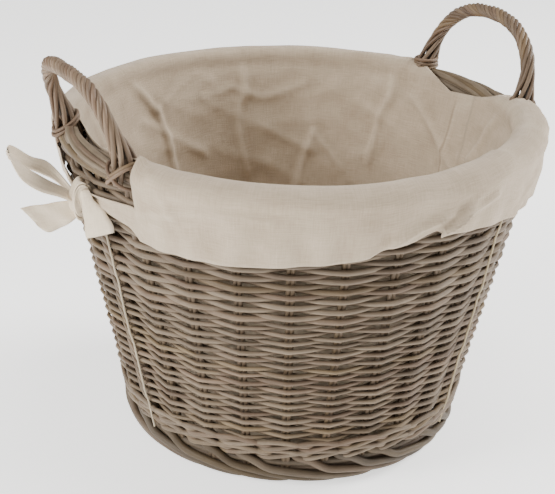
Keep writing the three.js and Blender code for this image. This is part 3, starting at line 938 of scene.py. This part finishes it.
below_rim = np.clip((RIM_LEVEL - level) / 0.022, 0, 1)
hung = np.maximum(over_rim, 0) * (1 - below_rim) + down_wall * below_rim + hem_step
below_fold = np.clip((0.312 - level) / 0.012, 0, 1)
join = np.exp(-((columns - JOIN_AT) / column_width) ** 2)[None] * below_fold
inward = inward + 0.0018 * join * slack                        # the side seam's turned-in edges
amount = np.where(skirt_part, hung * np.where(in_fold, 0.4 + 0.6 * from_edge, 0.15),
                  inward * (1 - on_rim) + np.maximum(over_rim, 0) * on_rim)
amount[:3] = 0
by_left_front = np.abs(columns - 180 - SLITS["left"]) < 20     # the cloth's corner stands up highest there
peak = np.exp(-(past_slit / 1.8) ** 2) * in_fold * (0.008 * by_left_front + 0.002)
amount += np.where(fold_part, peak * np.exp(-((bearing - 1.9) / 0.7) ** 2), 0)
reach = reach + amount * np.cos(bearing)
level = level + amount * np.sin(bearing)
radial = np.cos(np.radians(columns))[None], np.sin(np.radians(columns))[None]
grid = np.stack([reach * radial[0], reach * radial[1], level], 2)
climb = np.cumsum(np.r_[np.zeros((1, COLUMNS)), np.hypot(np.diff(reach, axis=0), np.diff(level, axis=0))], 0)
threads = np.stack([degrees / 360 * ROUND, climb, np.zeros(reach.shape)], 2)
# painted light and shade: the cloth is lighter where it stands above its surroundings and darker where it
# sinks below
around_it = sum(np.roll(amount, n, 1) for n in range(-5, 6)) / 11
around_it = sum(np.roll(around_it, n, 0) for n in range(-2, 3)) / 5
painted_crease_shading = np.clip((amount - around_it) / 0.0016, -1, 1) * (inside_part | (row_place > first_skirt + 2))
beside_join = np.abs(columns - (JOIN_AT + column_width)) < 0.5 # painted shadow: a dark line beside the seam, where the stitches lie in its shadow
painted_crease_shading = np.where(inside_part & beside_join, -3.2 * below_fold, painted_crease_shading)
liner = cloth_piece("liner", grid, keep, threads, painted_crease_shading, join_columns=True)
finish_cloth(liner, "liner_side", "liner_cuff_front", "liner_cuff_back")


# ---------------------------------------------------------------------------------------------------
# Liner base: a round panel of the same cotton, sewn to the tube's foot. It lies slack over the woven
# base, and has soft creases from being folded.
# ---------------------------------------------------------------------------------------------------
panel_low, panel_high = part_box("liner_base")
PANEL = panel_high.x - 0.001
rings, spokes = 40, 96
ring_place = np.linspace(0.004, 1, rings)[:, None] * np.ones((1, spokes))
spoke_turn = np.ones((rings, 1)) * np.linspace(0, 360, spokes, endpoint=False)[None]
px = PANEL * ring_place * np.cos(np.radians(spoke_turn))
py = PANEL * ring_place * np.sin(np.radians(spoke_turn))
rumple = np.zeros(px.shape)
rumples = [(11, 5, 1.0), (-6, 13, 1.0), (17, -9, 0.6), (3, 19, 0.7), (23, 14, 0.35)]
for n, (ax, ay, size) in enumerate(rumples):
    t = (ax * px + ay * py + 0.31 * n + 0.1 * np.sin(px * 40 + n) * np.cos(py * 35)) % 1.0
    rumple += size * (1 - np.abs(2 * t - 1)) ** 1.5
pz = panel_low.z + 0.0008 + 0.0011 * rumple * np.clip((1 - ring_place) * 12, 0, 1)
# painted highlight: the tops of the rumples are lighter
panel = cloth_piece("liner_base_panel", np.stack([px, py, pz], 2), np.ones((rings, spokes), bool),
                    np.stack([px, py, pz * 0], 2), np.clip(rumple / 3 - 0.4, 0, 1) * 0.4, join_columns=True)
finish_cloth(panel, "liner_base")


# ---------------------------------------------------------------------------------------------------
# Ties: the ends of the hem bands, hemmed strips 28 mm wide, knotted outside the wall below each handle
# with one loop and two tails. Edges are given as out from the middle, towards the front, and up.
# ---------------------------------------------------------------------------------------------------
TIE_STEPS, TIE_CELLS, TIE_CLOTH = 40, 8, 0.0013
tape = cotton("unbleached_cotton_tape", linear(238, 222, 198), linear(204, 186, 160))


def tie_piece(side, name, upper, lower, cup, node, seed, closed=False, droop=0.0):
    """A strip of cloth between two edge routes, cupped and creased along its length."""
    sign = -1 if side == "left" else 1
    top = np.array(smooth_path(upper, TIE_STEPS))
    bottom = np.array(smooth_path(lower, TIE_STEPS))
    if closed:
        top[-1], bottom[-1] = top[0], bottom[0]
    grid = np.zeros((TIE_STEPS, TIE_CELLS + 1, 3))
    along = np.gradient((top + bottom) / 2, axis=0)
    face = np.cross(along, bottom - top)
    face /= np.linalg.norm(face, axis=1, keepdims=True) + 1e-9
    for c in range(TIE_CELLS + 1):
        t = c / TIE_CELLS
        steps = np.arange(TIE_STEPS)
        belly = cup * math.sin(math.pi * t) + 0.0007 * np.sin(9 * math.pi * t + steps * 0.13 + seed)
        ripple = 0.0006 * np.sin(steps * 0.45 + 4 * t + seed)
        grid[:, c] = top * (1 - t) + bottom * t + face * (belly + ripple)[:, None]
    away = np.clip((grid[..., 0] - 0.244) / 0.056, 0, 1)
    grid[..., 2] -= droop * away
    grid = grid @ np.array(Matrix.Rotation(math.radians(SEAM_TURN), 3, "Z")) * (sign, sign, 1)
    run = np.cumsum(np.r_[0, np.linalg.norm(np.diff((top + bottom) / 2, axis=0), axis=1)])
    wide = np.linalg.norm(bottom - top, axis=1)
    cells = np.linspace(0, 1, TIE_CELLS + 1)
    threads = np.stack([run[:, None] * np.ones(TIE_CELLS + 1), wide[:, None] * cells[None] + seed,
                        np.zeros(grid.shape[:2])], 2)
    # painted highlight along both hemmed edges of the strip
    painted_crease_shading = np.ones((TIE_STEPS, 1)) * (np.abs(cells - 0.5) > 0.42)[None] * 0.4
    whole = np.ones(grid.shape[:2], bool)
    strip = cloth_piece(f"{side}_{name}", grid, whole, threads, painted_crease_shading, thickness=TIE_CLOTH)
    finish_cloth(strip, f"{side}_tie_{node}", material=tape)
    return strip


LOOP_UPPER = [(0.2430, 0.0300, 0.2900), (0.2452, 0.0190, 0.2868), (0.2560, 0.0110, 0.2925),
              (0.2690, 0.0085, 0.3000), (0.2866, 0.0060, 0.3125), (0.2990, 0.0010, 0.3255),
              (0.2992, -0.0050, 0.3318), (0.2900, -0.0130, 0.3270), (0.2740, -0.0150, 0.3150),
              (0.2600, -0.0150, 0.3090), (0.2505, -0.0060, 0.2985), (0.2445, 0.0160, 0.2880)]
LOOP_LOWER = [(0.2450, 0.0320, 0.2800), (0.2480, 0.0215, 0.2790), (0.2620, 0.0255, 0.2872),
              (0.2800, 0.0275, 0.2965), (0.2950, 0.0235, 0.3085), (0.3010, 0.0130, 0.3205),
              (0.3008, 0.0050, 0.3245), (0.2940, -0.0030, 0.3170), (0.2820, -0.0070, 0.3080),
              (0.2665, -0.0080, 0.2990), (0.2555, -0.0020, 0.2925), (0.2460, 0.0150, 0.2820)]
LONG_TAIL_UPPER = [(0.2440, 0.0310, 0.2830), (0.2470, 0.0200, 0.2800), (0.2580, 0.0160, 0.2785),
                   (0.2700, 0.0120, 0.2765), (0.2820, 0.0080, 0.2750), (0.2925, 0.0050, 0.2735)]
LONG_TAIL_LOWER = [(0.2420, 0.0310, 0.2690), (0.2430, 0.0230, 0.2640), (0.2500, 0.0200, 0.2580),
                   (0.2570, 0.0160, 0.2525), (0.2680, 0.0110, 0.2475), (0.2770, 0.0085, 0.2530)]
TAIL_HANG = (0, 0, 0.2, 0.5, 0.8, 1)     # how far each point of the long tail goes with its hang
SHORT_TAIL_UPPER = [(0.2410, 0.0200, 0.2860), (0.2420, 0.0290, 0.2880), (0.2425, 0.0330, 0.2800),
                    (0.2412, 0.0355, 0.2700), (0.2410, 0.0370, 0.2590), (0.2400, 0.0385, 0.2475)]
SHORT_TAIL_LOWER = [(0.2360, 0.0250, 0.2960), (0.2360, 0.0400, 0.2925), (0.2345, 0.0480, 0.2870),
                    (0.2290, 0.0570, 0.2790), (0.2250, 0.0635, 0.2700), (0.2235, 0.0665, 0.2610)]
KNOT_STEPS = 14
KNOT_HEART = Vector((0.2410, 0.0335, 0.2830))


def tie_bow(side, tail_drop, tail_push, loop_droop):
    """One bow. The cloth is limp, so each loop and long tail hangs down by its own amount."""
    tie_piece(side, "bow_loop", LOOP_UPPER, LOOP_LOWER, 0.0015, "loop", 1.3, droop=loop_droop)
    drop = Vector((tail_push, -tail_push, -tail_drop))
    hung_tail = [[Vector(p) + drop * w for p, w in zip(edge, TAIL_HANG)]
                 for edge in (LONG_TAIL_UPPER, LONG_TAIL_LOWER)]
    tie_piece(side, "long_tail_strip", *hung_tail, -0.0025, "long_tail", 2.7)
    tie_piece(side, "short_tail_strip", SHORT_TAIL_UPPER, SHORT_TAIL_LOWER, 0.0035, "short_tail", 4.1)
    # the knot: the strip taken once round the others, narrow and pulled in
    ring_top, ring_bottom = [], []
    for i in range(KNOT_STEPS):
        a = 2 * math.pi * i / (KNOT_STEPS - 1) + 2.2
        out, up = 0.2425 + 0.0090 * math.cos(a), 0.2825 + 0.0195 * math.sin(a)
        pull = 0.0014 * math.sin(2 * a + 0.6)
        ring_top.append((out - 0.001, 0.0185 + 0.0025 * math.sin(a) + pull, up))
        ring_bottom.append((out - 0.0015, 0.0310 + 0.0030 * math.sin(a) - pull, up * 0.995 + 0.0012))
    tie_piece(side, "knot_strap", ring_top, ring_bottom, 0.0028, "knot", 5.9, closed=True)
    # the turned end that fills the strap's mouth
    mouth = [[Vector(p).lerp(KNOT_HEART, share) for p in ring_bottom] for share in (0.12, 0.86)]
    tie_piece(side, "knot_end", *mouth, 0.0015, "knot", 7.1, closed=True)


tie_bow("left", tail_drop=0.0, tail_push=0.0, loop_droop=0.0)
tie_bow("right", tail_drop=0.036, tail_push=0.013, loop_droop=0.060)


# ---------------------------------------------------------------------------------------------------
# Floor, light and camera: a pale floor, a soft light at each side, and a long lens that looks down a
# little on the basket from the front left.
# ---------------------------------------------------------------------------------------------------
FLOOR_SIZE, FLOOR_GLOW, ROOM_LIGHT = 30, 1.3, 0.48
bpy.ops.object.select_all(action="DESELECT")
bpy.ops.mesh.primitive_plane_add(size=FLOOR_SIZE, location=(0, 0, 0))
floor = bpy.context.object
floor.name = "floor"
floor_finish, _, floor_shader = new_material("pale_floor")
floor_shader.inputs["Base Color"].default_value = (0.9, 0.9, 0.895, 1)
floor_shader.inputs["Roughness"].default_value = 0.9
floor_shader.inputs["Emission Color"].default_value = (1, 1, 0.99, 1)
floor_shader.inputs["Emission Strength"].default_value = FLOOR_GLOW
floor.data.materials.append(floor_finish)

world = bpy.data.worlds.new("studio")
bpy.context.scene.world = world
world.use_nodes = True
world.node_tree.nodes["Background"].inputs[0].default_value = (1.0, 0.99, 0.975, 1)
world.node_tree.nodes["Background"].inputs[1].default_value = ROOM_LIGHT


def soft_light(name, place, aim, size, power, colour=(1, 1, 1)):
    data = bpy.data.lights.new(name, "AREA")
    data.shape, data.size, data.energy, data.color = "DISK", size, power, colour
    light = bpy.data.objects.new(name, data)
    light.location = place
    light.rotation_euler = (Vector(aim) - Vector(place)).to_track_quat("-Z", "Y").to_euler()
    bpy.context.scene.collection.objects.link(light)


CENTRE = Vector((0, 0, 0.19))
soft_light("left", (-2.2, 0.1, 1.2), CENTRE, 1.1, 62, (1.0, 0.99, 0.97))
soft_light("right", (2.1, -0.5, 1.4), CENTRE, 1.1, 72, (1.0, 0.99, 0.98))
soft_light("top", (0.2, -0.2, 2.5), CENTRE, 1.0, 15)
soft_light("front", (-1.2, -2.2, 1.2), CENTRE, 1.5, 2)

VIEW_TURN, VIEW_RISE, VIEW_ROLL = math.radians(-31.5), math.radians(22.76), math.radians(1.95)
VIEW_DISTANCE = 1.5
SENSOR, FOCAL_LENGTH = 36, 93.3
SHIFT = (-0.0312, -0.0105)
back = Vector((math.sin(VIEW_TURN) * math.cos(VIEW_RISE), -math.cos(VIEW_TURN) * math.cos(VIEW_RISE),
               math.sin(VIEW_RISE)))
right = Vector((math.cos(VIEW_TURN), math.sin(VIEW_TURN), 0))
up = back.cross(right)
tilted_right = right * math.cos(VIEW_ROLL) + up * math.sin(VIEW_ROLL)
tilted_up = up * math.cos(VIEW_ROLL) - right * math.sin(VIEW_ROLL)
lens = bpy.data.cameras.new("camera")
lens.sensor_width, lens.lens = SENSOR, FOCAL_LENGTH
lens.shift_x, lens.shift_y = SHIFT
camera = bpy.data.objects.new("camera", lens)
turn = Matrix((tilted_right, tilted_up, back)).transposed()
camera.matrix_world = Matrix.Translation(CENTRE + back * VIEW_DISTANCE) @ turn.to_4x4()
bpy.context.scene.collection.objects.link(camera)
bpy.context.scene.camera = camera
